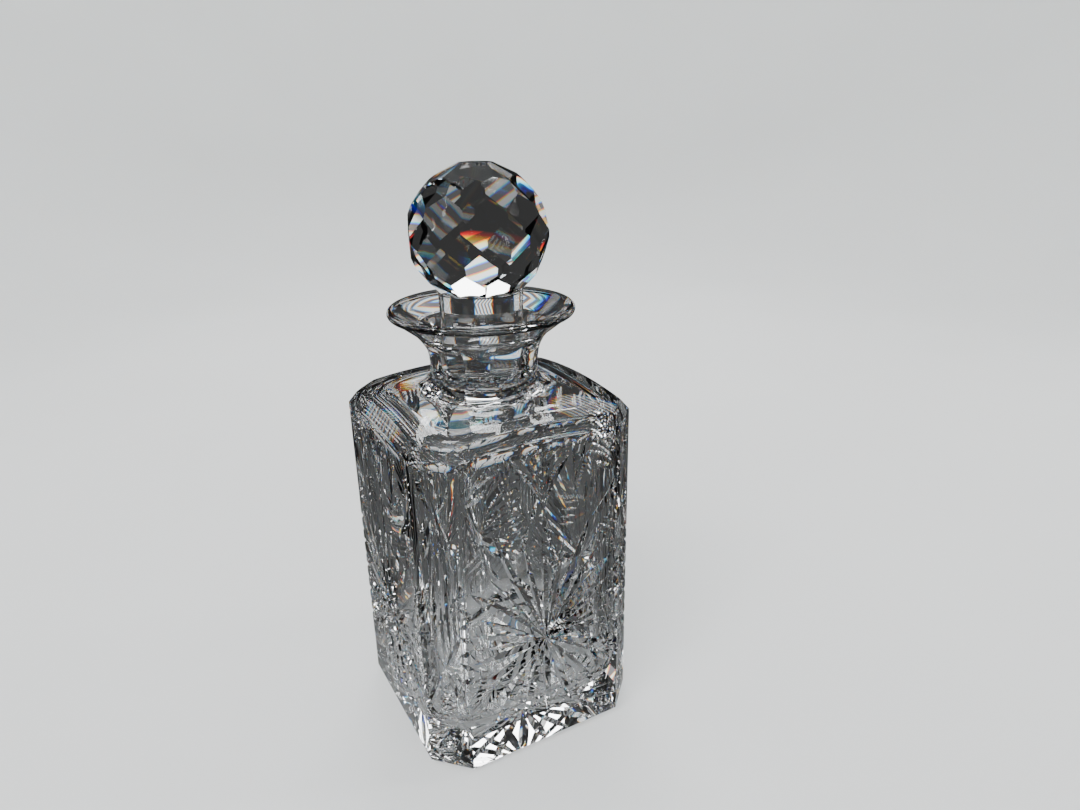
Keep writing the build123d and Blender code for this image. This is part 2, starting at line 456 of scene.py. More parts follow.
def groove(path, width, depth, peak=0.5):
    """One cut: flat points it runs through, its width, its depth, and where it is deepest."""
    return {"path": path, "width": width, "depth": depth, "peak": peak}


def straight(start, end, width, depth, peak=0.5):
    """A straight cut."""
    return groove([Vector(start), Vector(end)], width, depth, peak)


def bent(start, via, end, width, depth, peak=0.5):
    """A curved cut that leaves start towards via and arrives at end."""
    a, b, c = Vector(start), Vector(via), Vector(end)
    path = []
    for i in range(CURVE_STEPS + 1):
        t = i / CURVE_STEPS
        path.append(a * (1 - t) ** 2 + b * 2 * t * (1 - t) + c * t**2)
    return groove(path, width, depth, peak)


def mirrored(cuts):
    """The same cuts on the other side of the middle line."""
    flipped = []
    for cut in cuts:
        path = [Vector((-p.x, p.y)) for p in cut["path"]]
        flipped.append(dict(cut, path=path))
    return flipped


def point_on(path, t):
    """Point and direction at t along a path, run on straight past its ends."""
    lengths = [(b - a).length for a, b in zip(path, path[1:])]
    reach = t * sum(lengths)
    for i, length in enumerate(lengths):
        if reach <= length or i == len(lengths) - 1:
            along = (path[i + 1] - path[i]).normalized()
            return path[i] + along * reach, along
        reach -= length


def wheel_section(cut, s):
    """Place, direction and depth of a cut at s, which runs from -1 to 1 with the deepest at 0.

    The depth follows a parabola, as a round wheel leaves it."""
    peak = cut["peak"]
    t = peak * (1 + s) if s < 0 else peak + (1 - peak) * s
    spot, along = point_on(cut["path"], t)
    return spot, along, cut["depth"] * (1 - s * s)


def cutter(cut, place):
    """Vertices and faces of the wheel-shaped solid that grinds one cut, placed by a function."""
    reach = sqrt(1 + PROUD / cut["depth"])
    stations = STATIONS_STRAIGHT if len(cut["path"]) == 2 else STATIONS_CURVED
    verts = []
    for i in range(stations + 1):
        spot, along, deep = wheel_section(cut, -reach + 2 * reach * i / stations)
        if i in (0, stations):
            verts.append(place(spot.x, spot.y, PROUD))
            continue
        wide = cut["width"] / 2 * (deep + PROUD) / cut["depth"]
        side = Vector((-along.y, along.x)) * wide
        for p in (spot - side, spot + side):
            verts.append(place(p.x, p.y, PROUD))
        verts.append(place(spot.x, spot.y, -deep))
    return verts, closed_faces(3, stations - 1)


def spans(cut):
    """Circles that cover a cut, for telling whether two cuts meet."""
    path = cut["path"]
    length = sum((b - a).length for a, b in zip(path, path[1:]))
    count = max(2, ceil(length / SPAN_STEP))
    reach = sqrt(1 + PROUD / cut["depth"])
    gap = length / count * reach * SPAN_SHARE
    circles = []
    for i in range(count + 1):
        spot, _, deep = wheel_section(cut, -reach + 2 * reach * i / count)
        circles.append((spot, cut["width"] / 2 * (deep + PROUD) / cut["depth"] + gap))
    return circles


def batches(cuts):
    """Group cuts so that no two in a group meet."""
    groups = []
    for cut in cuts:
        mine = spans(cut)
        for group in groups:
            if not any((p - q).length < r + s for _, other in group for q, s in other for p, r in mine):
                group.append((cut, mine))
                break
        else:
            groups.append([(cut, mine)])
    return [[cut for cut, _ in group] for group in groups]


def gathered(pieces):
    """One mesh's points and faces from several."""
    verts, faces = [], []
    for more, sides in pieces:
        faces += [tuple(i + len(verts) for i in face) for face in sides]
        verts += more
    return verts, faces


def grind(obj, cuts, places):
    """Grind the same cuts at several places."""
    for group in batches(cuts):
        wheels = gathered([cutter(cut, place) for place in places for cut in group])
        boolean(obj, mesh_object("wheels", *wheels), "DIFFERENCE")


def side_place(turn, distance):
    """Places a point (across, height, out) on an upright face turned from -Y."""
    a = radians(turn)

    def place(u, v, out):
        reach = distance + out
        return (u * cos(a) + reach * sin(a), u * sin(a) - reach * cos(a), v)

    return place


def under_place(u, v, out):
    """Places a point on the foot's underside."""
    return (u, v, -out)


# ------------------------------------------------------------------ the pattern
# Star on each panel. Directions are degrees up from the panel's right-hand side
STAR = (0.0, 52.0)
THROUGH = -1.5  # the long rays cross the star's centre by this much
LOW_RAY = -35.5  # direction of the long low ray

# Small fan that branches off the low ray
FAN_NODE = 23.5  # how far out along that ray
FAN_TIPS = ((29.0, 45.2), (31.0, 43.6), (32.4, 41.6), (33.0, 39.2), (33.2, 36.6), (33.2, 33.8))
FAN_START = 0.22  # share of the way to its tip at which a stroke begins
FAN_STROKE = (1.3, 0.55, 0.6)  # width, depth and peak

# Ladders between two rays
LADDER_BAR = (1.3, 0.5)  # width and depth
LADDERS = (  # the two rays, first distance, bars, pitch, share of the gap
    (-90, -72, 24, 4, 3.5, 0.62),
    (-72, -53, 18, 6, 3.5, 0.6),
    (-53, LOW_RAY, 18, 6, 3.5, 0.6),
    (-22.5, 0, 17, 5, 3, 0.6),
    (0, 22.5, 27.5, 2, 3, 0.6),
    (67.5, 90, 50, 4, 3, 0.32),
    (45, 67.5, 48, 3, 3, 0.4),
)

# Plumes and fans under the shoulder
PLUME_BEND = (0.25, 0.62)  # where a stroke bends, as shares of the way across and up
PLUME_START = 0.12
PLUME_PEAK = 0.6
SHOULDER_NODE = (32.0, 119.0)
SHOULDER_TIPS = ((30.5, 135.5), (26.5, 135.5), (23, 134.5), (20, 132), (18.5, 129))
SHOULDER_BOW = (2.0, 3.0)  # how far a stroke bows, across and up
SHOULDER_START = 0.15
SHOULDER_STROKE = (1.5, 0.65, 0.55)  # width, depth and peak

# Fine hatching on the corners
HATCH = (1.0, 0.38)  # width and depth
HATCH_LINES = 6
HATCH_LOWEST = 27.5
HATCH_PITCH = 2.6
HATCH_LEGS_MEET = 43.5
HATCH_SPREAD = 0.36  # half a line's reach for each millimetre below where the legs meet
HATCH_NARROWEST = 1.2
HATCH_SLOPE = 0.5

# Notches over the upright edges
NOTCH = (2.6, 1.5)  # width and depth
NOTCHES = 9
NOTCH_LOWEST = 33
NOTCH_PITCH = 6.2
NOTCH_REACH = 5.5
NOTCH_SLANTS = (-2.6, 3.2)  # taken in turn

# Thumb cut at the foot of each corner
THUMB_HEIGHT = 16.5
THUMB_RADIUS = 10.2
THUMB_DEPTH = 1.7

# Star under the foot
FOOT_RAYS = 24
FOOT_RAY_START = 3.0
FOOT_RAY_MARGIN = 1.5  # a ray ends this far inside the bevel
FOOT_RAY_SIZES = ((4.6, 1.5), (3.6, 1.2))  # width and depth, taken in turn
FOOT_RAY_PEAK = 0.65
FOOT_CORNER_TURN = 40  # a ray further than this from a panel's middle points at a corner
FOOT_CORNER_SHARE = 0.9  # and has this share of its length


def star_ray(turn, near, far, width, depth, peak=0.5):
    """A ray of the star between two distances from its centre."""
    return straight(around(STAR, near, turn), around(STAR, far, turn), width, depth, peak)


def star_cuts():
    """Rays of the star. The right-hand ones are listed, then mirrored."""
    middle = [
        star_ray(90, THROUGH, 73, 3.0, 1.3, 0.35),
        star_ray(-90, THROUGH, 36.5, 3.8, 1.5),
    ]
    right = [
        star_ray(78.75, 4, 46, 2.6, 1.1),
        star_ray(67.5, THROUGH, 58, 3.6, 1.5, 0.4),
        star_ray(56.25, 5, 44, 2.4, 1.0),
        star_ray(45, THROUGH, 45, 5.4, 2.1, 0.55),
        star_ray(33.75, 6, 36, 2.2, 0.9),
        star_ray(22.5, THROUGH, 34.5, 3.6, 1.5),
        star_ray(11.25, 7, 32, 2.0, 0.8),
        star_ray(0, THROUGH, 32, 3.4, 1.4),
        star_ray(-22.5, THROUGH, 34.5, 3.6, 1.5),
        star_ray(LOW_RAY, THROUGH, 41, 4.6, 1.9, 0.6),
        star_ray(-53, THROUGH, 42, 3.6, 1.5),
        star_ray(-72, THROUGH, 38, 4.0, 1.6),
    ]
    return middle + right + mirrored(right)


def fan_cuts():
    """A small fan that branches from the long low ray on either side of the star."""
    node = Vector(around(STAR, FAN_NODE, LOW_RAY))
    cuts = []
    for tip in FAN_TIPS:
        cuts.append(straight(node.lerp(Vector(tip), FAN_START), tip, *FAN_STROKE))
    return cuts + mirrored(cuts)


def ladder(low, high, first, bars, pitch, fill):
    """Short bars across the gap between two rays of the star, from a first distance outwards."""
    cuts = []
    middle = (low + high) / 2
    side = Vector(around((0, 0), 1, middle + 90))
    for i in range(bars):
        reach = first + pitch * i
        half = side * reach * sin(radians(high - low) / 2) * fill
        centre = Vector(around(STAR, reach, middle))
        cuts.append(straight(centre - half, centre + half, *LADDER_BAR))
    return cuts


def ladder_cuts():
    """The ladders of the right half, then mirrored."""
    right = []
    for row in LADDERS:
        right += ladder(*row)
    return right + mirrored(right)


def plume(node, tips, width, depth):
    """Curved strokes that leave a node together and open like a feather."""
    across, up = PLUME_BEND
    strokes = []
    for tip in tips:
        via = (node[0] + (tip[0] - node[0]) * across, node[1] + (tip[1] - node[1]) * up)
        start = Vector(node).lerp(Vector(via), PLUME_START)
        strokes.append(bent(start, via, tip, width, depth, PLUME_PEAK))
    return strokes


def shoulder_fan():
    """Curved strokes that spread from the panel's edge to its top."""
    node, bow = SHOULDER_NODE, SHOULDER_BOW
    strokes = []
    for tip in SHOULDER_TIPS:
        via = ((node[0] + tip[0]) / 2 + bow[0], (node[1] + tip[1]) / 2 + bow[1])
        start = Vector(node).lerp(Vector(via), SHOULDER_START)
        strokes.append(bent(start, via, tip, *SHOULDER_STROKE))
    return strokes


def crown_cuts():
    """Feathers, fans and leaves under the shoulder."""
    right = plume((0.6, 110), ((3.0, 136), (6.2, 135), (9.0, 132.5), (11.2, 129)), 2.0, 0.85)
    right += plume((13.5, 108), ((12.8, 135.5), (16, 136), (19.2, 135), (22, 132.5)), 1.9, 0.8)
    right += shoulder_fan()
    right.append(bent((31.5, 119), (27, 120.5), (22.5, 124.0), 2.8, 1.2, 0.5))
    right.append(bent((31.8, 116.5), (29.5, 105), (21, 101), 3.2, 1.3, 0.65))
    right.append(straight((31.8, 116), (32.2, 97), 1.8, 0.8))
    right.append(bent((31.4, 115), (30.5, 104), (28.5, 95), 1.8, 0.8))
    for i in range(3):  # short strokes between the plumes and the leaves
        u = 18.2 + 2.4 * i
        right.append(straight((u, 106 + i), (u + 0.3, 117 + i), 1.6, 0.7))
    for i in range(4):  # and below the leaves
        u = 24.5 + 1.9 * i
        right.append(straight((u, 88 - 1.5 * i), (u + 0.3, 97 - 2.5 * i), 1.4, 0.6))
    return right + mirrored(right)


def corner_cuts():
    """Tulip, long strokes, crossing legs and fine hatching on each cut corner."""
    right = [
        bent((0.4, 116), (5.5, 122), (5.4, 134.5), 2.4, 1.0, 0.5),
        bent((0.3, 115), (3.2, 108), (5.2, 97), 3.0, 1.2, 0.6),
        straight((2.0, 112), (4.0, 78), 1.9, 0.8),
        straight((6.8, 104), (6.6, 68), 1.9, 0.8),
        straight((2.2, 92), (2.8, 58), 1.9, 0.8),
        straight((5.0, 86), (4.8, 60), 1.7, 0.7),
        straight((0.3, 49), (9.0, 28.5), 3.0, 1.3, 0.55),
        straight((0.3, 50), (7.5, 66), 2.4, 1.0),
        straight((3.6, 50), (8.4, 40), 1.6, 0.7),
    ]
    middle = [
        straight((0, 120), (0, 134), 3.0, 1.2, 0.6),
        straight((0, 113), (0, 84), 2.0, 0.85),
        straight((0, 80), (0, 52), 2.0, 0.85),
    ]
    return middle + right + mirrored(right) + corner_hatching()


def corner_hatching():
    """Fine crossed lines between the lower legs, narrower towards where the legs meet."""
    cuts = []
    for i in range(HATCH_LINES):
        v = HATCH_LOWEST + HATCH_PITCH * i
        half = max(HATCH_NARROWEST, (HATCH_LEGS_MEET - v) * HATCH_SPREAD)
        rise = half * HATCH_SLOPE
        cuts.append(straight((-half, v - rise), (half, v + rise), *HATCH))
        cuts.append(straight((-half, v + rise), (half, v - rise), *HATCH))
    return cuts


def edge_notches():
    """Short slanted cuts across an upright edge, which notch the outline."""
    cuts = []
    for i in range(NOTCHES):
        v = NOTCH_LOWEST + NOTCH_PITCH * i
        slant = NOTCH_SLANTS[i % 2]
        start = (EDGE_ACROSS - NOTCH_REACH, v - slant)
        end = (EDGE_ACROSS + NOTCH_REACH, v + slant)
        cuts.append(straight(start, end, *NOTCH))
    return cuts


def foot_star():
    """Star ground under the foot, whose rays run out almost to the bevel."""
    cuts = []
    for k in range(FOOT_RAYS):
        turn = 360 / FOOT_RAYS * k
        off = (turn + 45) % 90 - 45  # from the nearest panel's middle
        reach = (HALF - FOOT_BEVEL - FOOT_RAY_MARGIN) / cos(radians(off))
        if abs(off) > FOOT_CORNER_TURN:
            reach *= FOOT_CORNER_SHARE
        width, depth = FOOT_RAY_SIZES[k % 2]
        start, end = around((0, 0), FOOT_RAY_START, turn), around((0, 0), reach, turn)
        cuts.append(straight(start, end, width, depth, FOOT_RAY_PEAK))
    return cuts


def thumb_wheel(place):
    """Cap of the round wheel that grinds the thumb cut at the foot of a corner."""
    wheel = (THUMB_RADIUS**2 + THUMB_DEPTH**2) / (2 * THUMB_DEPTH)
    bottom = wheel - THUMB_DEPTH
    widest = acos((bottom - 2 * PROUD) / wheel)
    verts = [place(0, THUMB_HEIGHT, -THUMB_DEPTH)]
    for i in range(1, THUMB_RINGS + 1):
        a = widest * i / THUMB_RINGS
        for k in range(THUMB_SEGMENTS):
            u, v = around((0, THUMB_HEIGHT), wheel * sin(a), 360 * k / THUMB_SEGMENTS)
            verts.append(place(u, v, bottom - wheel * cos(a)))
    verts.append(place(0, THUMB_HEIGHT, 2 * PROUD))
    return verts, closed_faces(THUMB_SEGMENTS, THUMB_RINGS)


def cut_glass_body():
    """The vessel with everything ground into it."""
    quarters = (0, 90, 180, 270)
    panels = [side_place(turn, HALF) for turn in quarters]
    corners = [side_place(turn + 45, CORNER_DISTANCE) for turn in quarters]
    right_edges = [side_place(turn + EDGE_TURN, EDGE_DISTANCE) for turn in quarters]
    left_edges = [side_place(turn - EDGE_TURN, EDGE_DISTANCE) for turn in quarters]
    obj = body_blank()
    grind(obj, star_cuts() + fan_cuts() + ladder_cuts() + crown_cuts(), panels)
    grind(obj, corner_cuts(), corners)
    grind(obj, edge_notches(), right_edges)
    grind(obj, mirrored(edge_notches()), left_edges)
    thumbs = gathered([thumb_wheel(place) for place in corners])
    boolean(obj, mesh_object("thumb_wheels", *thumbs), "DIFFERENCE")
    grind(obj, foot_star(), [under_place])
    return obj


# ------------------------------------------------------------------ stopper
def cut_away(bm, point, normal):
    """Slice off everything beyond a plane and close the slice."""
    geometry = bm.verts[:] + bm.edges[:] + bm.faces[:]
    out = bmesh.ops.bisect_plane(bm, geom=geometry, plane_co=point, plane_no=normal, clear_outer=True)
    rim = [e for e in out["geom_cut"] if isinstance(e, bmesh.types.BMEdge)]
    if rim:
        bmesh.ops.holes_fill(bm, edges=rim)


def faceted_ball():
    """Ball bounded only by flat facets, in staggered rows."""
    bm = bmesh.new()
    bmesh.ops.create_cube(bm, size=3 * BALL_FLAT * MM)
    normals = [Vector((0, 0, 1))]
    for row, tilt in enumerate(FACET_ROWS):
        for k in range(FACETS_ROUND):
            turn = radians(360 / FACETS_ROUND * (k + (row % 2) / 2))
            level = cos(radians(tilt))
            normals.append(Vector((level * cos(turn), level * sin(turn), sin(radians(tilt)))))
    for normal in normals:
        cut_away(bm, normal * BALL_FLAT * MM, normal)
    cut_away(bm, Vector((0, 0, -BALL_FOOT * MM)), Vector((0, 0, -1)))
    bmesh.ops.translate(bm, verts=bm.verts, vec=(0, 0, BALL_HEIGHT * MM))
    mesh = bpy.data.meshes.new("stopper_ball_and_peg")
    bm.to_mesh(mesh)
    bm.free()
    obj = bpy.data.objects.new("stopper_ball_and_peg", mesh)
    bpy.context.scene.collection.objects.link(obj)
    return obj


def peg_radius(z):
    """Radius of the ground taper at a height."""
    return SEAT_TOP_RADIUS - (SEAT_TOP - z) * SEAT_SLOPE - SEAT_CLEARANCE


def peg():
    """Tapered peg with a rounded end, turned."""
    top = BALL_HEIGHT - PEG_BURIED
    straight_from = PEG_END + PEG_END_FILLET + TAPER_START
    edge = peg_radius(PEG_END) - PEG_END_FILLET
    centre = (edge, PEG_END + PEG_END_FILLET)
    profile = [(edge * i / PEG_FOOT_STEPS, PEG_END) for i in range(1, PEG_FOOT_STEPS)]
    profile += arc(centre, PEG_END_FILLET, -90, 0, PEG_FILLET_STEPS)
    for i in range(PEG_STEPS + 1):
        z = straight_from + (top - straight_from) * i / PEG_STEPS
        profile.append((peg_radius(z), z))
    return skin("peg", [turned(r, z) for r, z in profile], (0, 0, PEG_END), (0, 0, top))


def cut_glass_stopper():
    """Ball and peg in one piece of glass."""
    obj = faceted_ball()
    boolean(obj, peg(), "UNION")
    return obj


# ------------------------------------------------------------------ materials
CRYSTAL_INDEX = 1.55
CRYSTAL_TINT = (0.985, 0.992, 0.995)
SHADOW_TINT = (0.42, 0.43, 0.435, 1)
WAVE_SCALE = 55.0
WAVE_HEIGHT = 0.4 * MM
WAVE_DETAIL = 1.5
BODY_WAVINESS = 0.12
STOPPER_WAVINESS = 0.05
STREAK_SCALE = 18.0
STREAK_DARKER = 0.985
FLOOR_LIGHT = (0.70, 0.705, 0.71, 1)
FLOOR_DARK = (0.66, 0.665, 0.67, 1)
FLOOR_MOTTLE_SCALE = 6.0
FLOOR_ROUGHNESS = 0.7
FLOOR_SPECULAR = 0.2
PAINTED_POOL_SPAN = (0.01, 0.12)  # painted pool of light: metres from the axis over which the floor's colour darkens, seen through the glass
PAINTED_POOL_LEVELS = (0.6, 0.05)  # share of the floor's colour at either end of the painted pool of light


def new_material(name):
    """A node material, with its nodes, its links and its Principled shader."""
    mat = bpy.data.materials.new(name)
    mat.use_nodes = True
    nodes, links = mat.node_tree.nodes, mat.node_tree.links
    return mat, nodes, links, nodes["Principled BSDF"]


def math_node(nodes, links, operation, *values):
    """A math node whose inputs are numbers or sockets."""
    node = nodes.new("ShaderNodeMath")
    node.operation = operation
    for i, value in enumerate(values):
        if isinstance(value, (int, float)):
            node.inputs[i].default_value = value
        else:
            links.new(value, node.inputs[i])
    return node.outputs[0]


def smooth_step(nodes, links, value, start, stop, before, after):
    """Changes smoothly from before to after as the value goes from start to stop."""
    node = nodes.new("ShaderNodeMapRange")
    node.interpolation_type = "SMOOTHSTEP"
    node.inputs["From Min"].default_value = start
    node.inputs["From Max"].default_value = stop
    node.inputs["To Min"].default_value = before
    node.inputs["To Max"].default_value = after
    links.new(value, node.inputs["Value"])
    return node.outputs["Result"]


def noise_ramp(nodes, links, scale, low, high):
    """A colour that drifts between two with a noise."""
    coords = nodes.new("ShaderNodeTexCoord")
    noise = nodes.new("ShaderNodeTexNoise")
    noise.inputs["Scale"].default_value = scale
    links.new(coords.outputs["Object"], noise.inputs["Vector"])
    ramp = nodes.new("ShaderNodeValToRGB")
    ramp.color_ramp.elements[0].color = low
    ramp.color_ramp.elements[1].color = high
    links.new(noise.outputs["Fac"], ramp.inputs["Fac"])
    return ramp.outputs["Color"]


def seen_directly(nodes, links):
    """1 for what the camera sees itself and for diffuse light, 0 for what is seen by way of the glass."""
    path = nodes.new("ShaderNodeLightPath")
    outputs = path.outputs
    return math_node(nodes, links, "MAXIMUM", outputs["Is Camera Ray"], outputs["Is Diffuse Ray"])


def waves(nodes, links, strength):
    """The slight waviness of fire-polished glass."""
    coords = nodes.new("ShaderNodeTexCoord")
    noise = nodes.new("ShaderNodeTexNoise")
    noise.inputs["Scale"].default_value = WAVE_SCALE
    noise.inputs["Detail"].default_value = WAVE_DETAIL
    links.new(coords.outputs["Object"], noise.inputs["Vector"])
    bump = nodes.new("ShaderNodeBump")
    bump.inputs["Strength"].default_value = strength
    bump.inputs["Distance"].default_value = WAVE_HEIGHT
    links.new(noise.outputs["Fac"], bump.inputs["Height"])
    return bump.outputs["Normal"]


def crystal(name, waviness):
    """Polished lead crystal with faint streaks. Lamps shine through it on to the floor."""
    mat, nodes, links, shader = new_material(name)
    shader.inputs["Transmission Weight"].default_value = 1.0
    shader.inputs["IOR"].default_value = CRYSTAL_INDEX
    shader.inputs["Roughness"].default_value = 0.0
    links.new(waves(nodes, links, waviness), shader.inputs["Normal"])
    streak = [STREAK_DARKER * c for c in CRYSTAL_TINT] + [1]
    tint = noise_ramp(nodes, links, STREAK_SCALE, streak, list(CRYSTAL_TINT) + [1])
    links.new(tint, shader.inputs["Base Color"])

    clear = nodes.new("ShaderNodeBsdfTransparent")
    clear.inputs["Color"].default_value = SHADOW_TINT
    path = nodes.new("ShaderNodeLightPath")
    mix = nodes.new("ShaderNodeMixShader")
    links.new(path.outputs["Is Shadow Ray"], mix.inputs["Fac"])
    links.new(shader.outputs[0], mix.inputs[1])
    links.new(clear.outputs[0], mix.inputs[2])
    links.new(mix.outputs[0], nodes["Material Output"].inputs["Surface"])
    return mat


def pale_floor():
    """Matt pale floor. Seen through the glass it carries a painted pool of light round the foot, which
    falls off into the dark studio.
    """
    mat, nodes, links, shader = new_material("pale_floor")
    colour = noise_ramp(nodes, links, FLOOR_MOTTLE_SCALE, FLOOR_DARK, FLOOR_LIGHT)
    spot = nodes.new("ShaderNodeNewGeometry")
    reach = nodes.new("ShaderNodeVectorMath")
    reach.operation = "LENGTH"
    links.new(spot.outputs["Position"], reach.inputs[0])
    # painted pool of light: where the floor is seen through the glass, its colour darkens with distance
    # from the axis
    painted_pool = smooth_step(nodes, links, reach.outputs["Value"], *PAINTED_POOL_SPAN, *PAINTED_POOL_LEVELS)
    level = math_node(nodes, links, "MAXIMUM", seen_directly(nodes, links), painted_pool)
    shade = nodes.new("ShaderNodeVectorMath")
    shade.operation = "SCALE"
    links.new(colour, shade.inputs[0])
    links.new(level, shade.inputs["Scale"])
    links.new(shade.outputs[0], shader.inputs["Base Color"])
    shader.inputs["Roughness"].default_value = FLOOR_ROUGHNESS
    shader.inputs["Specular IOR Level"].default_value = FLOOR_SPECULAR
    return mat


def finish_glass(obj, mat):
    """Clear the slivers, smooth the curved surfaces and keep every cut edge crisp."""
    drop_slivers(obj)
    obj.data.polygons.foreach_set("use_smooth", [True] * len(obj.data.polygons))
    obj.data.set_sharp_from_angle(angle=radians(SHARP_ANGLE))
    obj.data.materials.clear()
    obj.data.materials.append(mat)


# ------------------------------------------------------------------ stage, in metres
FLOOR_PINHOLE = 0.0001
FLOOR_RING = 0.1
FLOOR_DISC = 0.30
FLOOR_LEVEL = -0.0002  # a hair under the foot, so that the glass keeps its inner reflections
BACKDROP_START = 0.9
BACKDROP_CURVE = 0.7
BACKDROP_TOP = 1.8
BACKDROP_STEPS = 16
LAMP_AIM = (0, 0, 0.1)
LAMPS = (  # name, place, size and power
    ("key", (-0.55, -0.35, 0.95), (0.5, 0.5), 9),
    ("back", (0.35, 0.75, 0.75), (0.6, 0.25), 6),
    ("side", (0.85, -0.35, 0.40), (0.14, 0.6), 3),
)


def turned_sheet(name, profile, mat):
    """Sheet turned about Z through points (radius, height) in metres."""
    segments = 96
    verts, faces = [], []
    for r, z in profile:
        for k in range(segments):
            x, y = around((0, 0), r / MM, 360 * k / segments)
            verts.append((x, y, z / MM))
    for r in range(len(profile) - 1):
        low = r * segments
        for k in range(segments):
            nxt = (k + 1) % segments
            faces.append((low + k, low + segments + k, low + segments + nxt, low + nxt))
    obj = mesh_object(name, verts, faces)
    obj.data.polygons.foreach_set("use_smooth", [True] * len(obj.data.polygons))
    obj.data.materials.append(mat)
    return obj


def sweep():
    """Pale floor that curves up into a backdrop. Glass sees the studio beyond the near floor."""
    mat = pale_floor()
    near = [(reach, FLOOR_LEVEL) for reach in (FLOOR_PINHOLE, FLOOR_RING, FLOOR_DISC)]
    turned_sheet("floor_disc", near, mat)
    centre = (BACKDROP_START, FLOOR_LEVEL + BACKDROP_CURVE)
    curve = arc(centre, BACKDROP_CURVE, -90, 0, BACKDROP_STEPS)
    far = [(FLOOR_DISC, FLOOR_LEVEL)] + curve + [(curve[-1][0], BACKDROP_TOP)]
    backdrop = turned_sheet("backdrop", far, mat)
    backdrop.visible_transmission = False
    backdrop.visible_glossy = False
    backdrop.visible_shadow = False


def softbox(name, place, size, power):
    """Soft lamp aimed at the middle of the decanter. The glass doesn't mirror it."""
    light = bpy.data.lights.new(name, "AREA")
    light.shape = "RECTANGLE"
    light.size, light.size_y = size
    light.energy = power
    obj = bpy.data.objects.new(name, light)
    bpy.context.scene.collection.objects.link(obj)
    obj.location = place
    aim = Vector(LAMP_AIM) - Vector(place)
    obj.rotation_euler = aim.to_track_quat("-Z", "Y").to_euler()
    obj.visible_camera = False
    obj.visible_glossy = False


PANELS_ROUND = 8.0
PANEL_TIERS = 13.0
PANEL_EDGE = (9.0, -2.8)  # how sharply a panel's edge rises, and where
PANEL_LEVEL = 9.0
LOUVRES = 340.0  # radians of wave over a unit of height
LOUVRE_SLANT = 0.35
LOUVRE_EDGE = (2.5, 0.4)  # how sharply a slat's edge rises, and where
LOUVRE_GAP_LEVEL = 0.18  # share of a panel's brightness left between the slats
LOUVRE_SPLIT = 0.12  # of the colour split
WALL_LEVEL = 0.04
CEILING_LEVEL = 0.5
CEILING_SPAN = (0.6, 0.8)  # sine of the elevation over which the panels fade to the ceiling's level
LOW_LEVEL = 0.15  # share of a panel's brightness that is left well below the horizon
LOW_SPAN = (-0.45, -0.05)  # sine of the elevation over which it comes back
MIRROR_LOSS = 0.75  # share of it that the glass doesn't mirror, so that its surface stays clear
PLAIN_COLOUR = (0.86, 0.88, 0.92, 1)
PLAIN_STRENGTH = 0.75
COLOUR_SPLIT = 0.010  # radians between neighbouring colours
SPLIT_UPWARD = 0.6  # of the colour split, by which the tiers of panels are split too


def louvres(nodes, links, azimuth, height, shift):
    """Slim slanted slats that break a panel into fine lines of light."""
    slanted = math_node(nodes, links, "MULTIPLY_ADD", azimuth, LOUVRE_SLANT, height)
    moved = math_node(nodes, links, "ADD", slanted, shift)
    phase = math_node(nodes, links, "MULTIPLY", moved, LOUVRES)
    wave = math_node(nodes, links, "COSINE", phase)
    edge = math_node(nodes, links, "MULTIPLY_ADD", wave, *LOUVRE_EDGE)
    above = math_node(nodes, links, "MAXIMUM", edge, LOUVRE_GAP_LEVEL)
    return math_node(nodes, links, "MINIMUM", above, 1.0)


def bright_panels(nodes, links):
    """Dark studio walls with bright panels. A split between the colours stands in for dispersion."""
    coords = nodes.new("ShaderNodeTexCoord")
    axes = nodes.new("ShaderNodeSeparateXYZ")
    links.new(coords.outputs["Generated"], axes.inputs[0])
    azimuth = math_node(nodes, links, "ARCTAN2", axes.outputs["Y"], axes.outputs["X"])
    upper = smooth_step(nodes, links, axes.outputs["Z"], *CEILING_SPAN, PANEL_LEVEL, CEILING_LEVEL)
    lower = smooth_step(nodes, links, axes.outputs["Z"], *LOW_SPAN, LOW_LEVEL, 1.0)
    faded = math_node(nodes, links, "MULTIPLY", upper, lower)
    path = nodes.new("ShaderNodeLightPath")
    mirror = math_node(nodes, links, "MULTIPLY_ADD", path.outputs["Is Glossy Ray"], -MIRROR_LOSS, 1.0)
    bright = math_node(nodes, links, "MULTIPLY", faded, mirror)
    channels = nodes.new("ShaderNodeCombineColor")
    for i, shift in enumerate((-COLOUR_SPLIT, 0.0, COLOUR_SPLIT)):
        turned_by = math_node(nodes, links, "ADD", azimuth, shift)
        around_wall = math_node(nodes, links, "MULTIPLY", turned_by, PANELS_ROUND)
        lifted = math_node(nodes, links, "ADD", axes.outputs["Z"], shift * SPLIT_UPWARD)
        up_wall = math_node(nodes, links, "MULTIPLY", lifted, PANEL_TIERS)
        columns = math_node(nodes, links, "COSINE", around_wall)
        tiers = math_node(nodes, links, "COSINE", up_wall)
        both = math_node(nodes, links, "MULTIPLY", columns, tiers)
        edge = math_node(nodes, links, "MULTIPLY_ADD", both, *PANEL_EDGE)
        above = math_node(nodes, links, "MAXIMUM", edge, 0.0)
        clipped = math_node(nodes, links, "MINIMUM", above, 1.0)
        slats = louvres(nodes, links, azimuth, axes.outputs["Z"], shift * LOUVRE_SPLIT)
        lit = math_node(nodes, links, "MULTIPLY", clipped, slats)
        level = math_node(nodes, links, "MULTIPLY_ADD", lit, bright, WALL_LEVEL)
        links.new(level, channels.inputs[i])
    return channels.outputs[0]


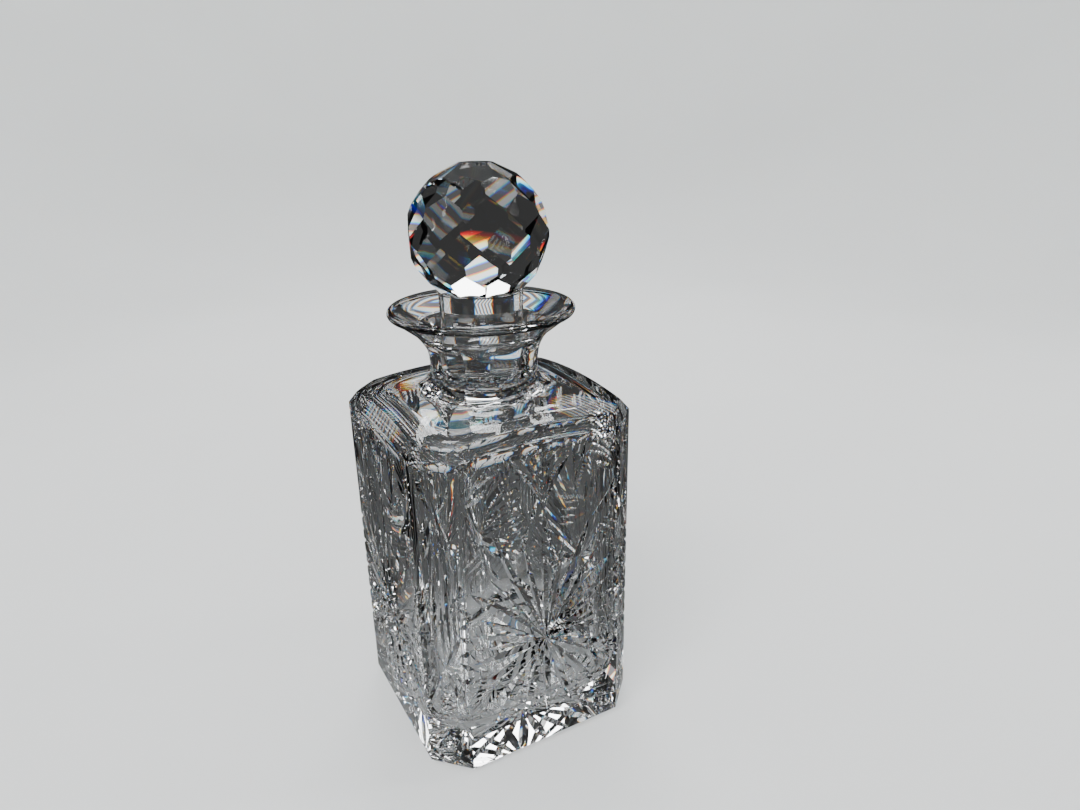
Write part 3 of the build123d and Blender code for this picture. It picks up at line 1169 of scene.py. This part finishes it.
def studio():
    """Plain soft light for the floor and the camera, dark walls with bright panels for the glass."""
    world = bpy.data.worlds.new("studio")
    bpy.context.scene.world = world
    world.use_nodes = True
    nodes, links = world.node_tree.nodes, world.node_tree.links
    plain = nodes["Background"]
    plain.inputs["Color"].default_value = PLAIN_COLOUR
    plain.inputs["Strength"].default_value = PLAIN_STRENGTH
    walls = nodes.new("ShaderNodeBackground")
    links.new(bright_panels(nodes, links), walls.inputs["Color"])
    mix = nodes.new("ShaderNodeMixShader")
    links.new(seen_directly(nodes, links), mix.inputs["Fac"])
    links.new(walls.outputs[0], mix.inputs[1])
    links.new(plain.outputs[0], mix.inputs[2])
    links.new(mix.outputs[0], nodes["World Output"].inputs["Surface"])


# ------------------------------------------------------------------ camera
LENS = 26.0
SENSOR = 36.0
CLIP_START = 0.01
AIM_HEIGHT = 0.1044  # the camera looks down on this height on the axis
DISTANCE = 0.3311
AZIMUTH = radians(-24.517)
ELEVATION = radians(25.771)
YAW = radians(-3.971)  # then it is turned off that aim, so that the lifted stopper fits
PITCH = radians(4.91)
ROLL = radians(-3.007)


def add_camera():
    """Camera on the decanter's front left, looking a little down."""
    back = Vector(
        (sin(AZIMUTH) * cos(ELEVATION), -cos(AZIMUTH) * cos(ELEVATION), sin(ELEVATION))
    )
    spot = Vector((0, 0, AIM_HEIGHT)) + back * DISTANCE
    ahead = -back
    right = ahead.cross(Vector((0, 0, 1))).normalized()
    up = right.cross(ahead)
    turn = Matrix.Rotation(YAW, 3, up)
    ahead, right = turn @ ahead, turn @ right
    turn = Matrix.Rotation(PITCH, 3, right)
    ahead, up = turn @ ahead, turn @ up
    right, up = right * cos(ROLL) + up * sin(ROLL), up * cos(ROLL) - right * sin(ROLL)
    lens = bpy.data.cameras.new("camera")
    lens.sensor_width = SENSOR
    lens.lens = LENS
    lens.clip_start = CLIP_START
    camera = bpy.data.objects.new("camera", lens)
    bpy.context.scene.collection.objects.link(camera)
    axes = Matrix((right, up, -ahead)).transposed()
    camera.matrix_world = Matrix.Translation(spot) @ axes.to_4x4()
    bpy.context.scene.camera = camera


# ------------------------------------------------------------------ build
body = cut_glass_body()
finish_glass(body, crystal("lead_crystal", BODY_WAVINESS))
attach(body, "decanter")
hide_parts("decanter_body")

stopper = cut_glass_stopper()
finish_glass(stopper, crystal("stopper_crystal", STOPPER_WAVINESS))
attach(stopper, "stopper_body")
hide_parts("stopper")

sweep()
studio()
for lamp in LAMPS:
    softbox(*lamp)
add_camera()
